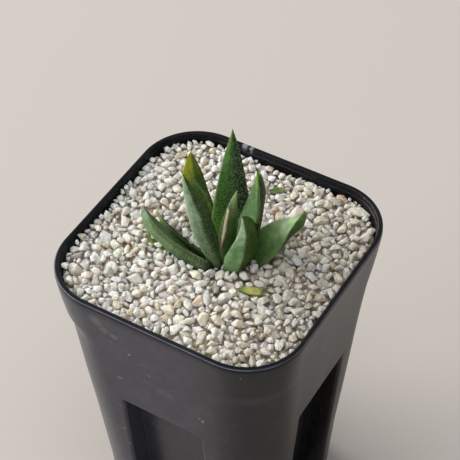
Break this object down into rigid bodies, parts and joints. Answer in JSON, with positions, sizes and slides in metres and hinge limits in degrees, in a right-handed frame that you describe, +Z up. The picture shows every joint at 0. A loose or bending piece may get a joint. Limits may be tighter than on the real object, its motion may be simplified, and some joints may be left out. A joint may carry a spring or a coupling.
{
  "type": "potted haworthiopsis scabra",
  "caption": "Small rosette of thick pointed green leaves growing in pale angular gravel, in a tall square black plastic nursery pot with rounded corners.",
  "frame": {"origin": "centre of the pot's base, on the surface that the pot stands on", "axes": "+Z up along the pot's height; the pot's sides face +X, -X, +Y and -Y"},
  "size_m": [0.09, 0.09, 0.1656],
  "materials": {
    "pot_plastic": "black moulded plastic, satin, with faint scuffs and dust",
    "growing_medium": "dark crumbly potting mix with bits of bark and pumice",
    "gravel": "angular pale quartz-like grains in white, cream, grey and tan, dry and matte",
    "leaf": "dark green waxy leaf skin covered in small paler tubercles",
    "leaf_pale": "yellow-green ageing leaf skin",
    "stem": "pale brown fibrous stem and thick roots",
    "dry_leaf": "tan papery dried leaf edge"
  },
  "bodies": {
    "root": {"pot": "pot_plastic", "growing_medium": "growing_medium", "gravel_dressing": "gravel", "stem_and_roots": "stem", "leaf_heart": "leaf", "leaf_tall_back": "leaf", "leaf_upright_left": "leaf", "leaf_back_right": "leaf", "leaf_front_short": "leaf", "leaf_back_left": "leaf", "leaf_spreading_right": "leaf", "leaf_low_left": "leaf", "leaf_behind_left": "leaf", "leaf_under_left": "leaf", "old_leaf_tip_front": "leaf_pale", "old_leaf_tip_back": "leaf_pale", "dry_leaf_edge": "dry_leaf"}
  },
  "joints": []
}
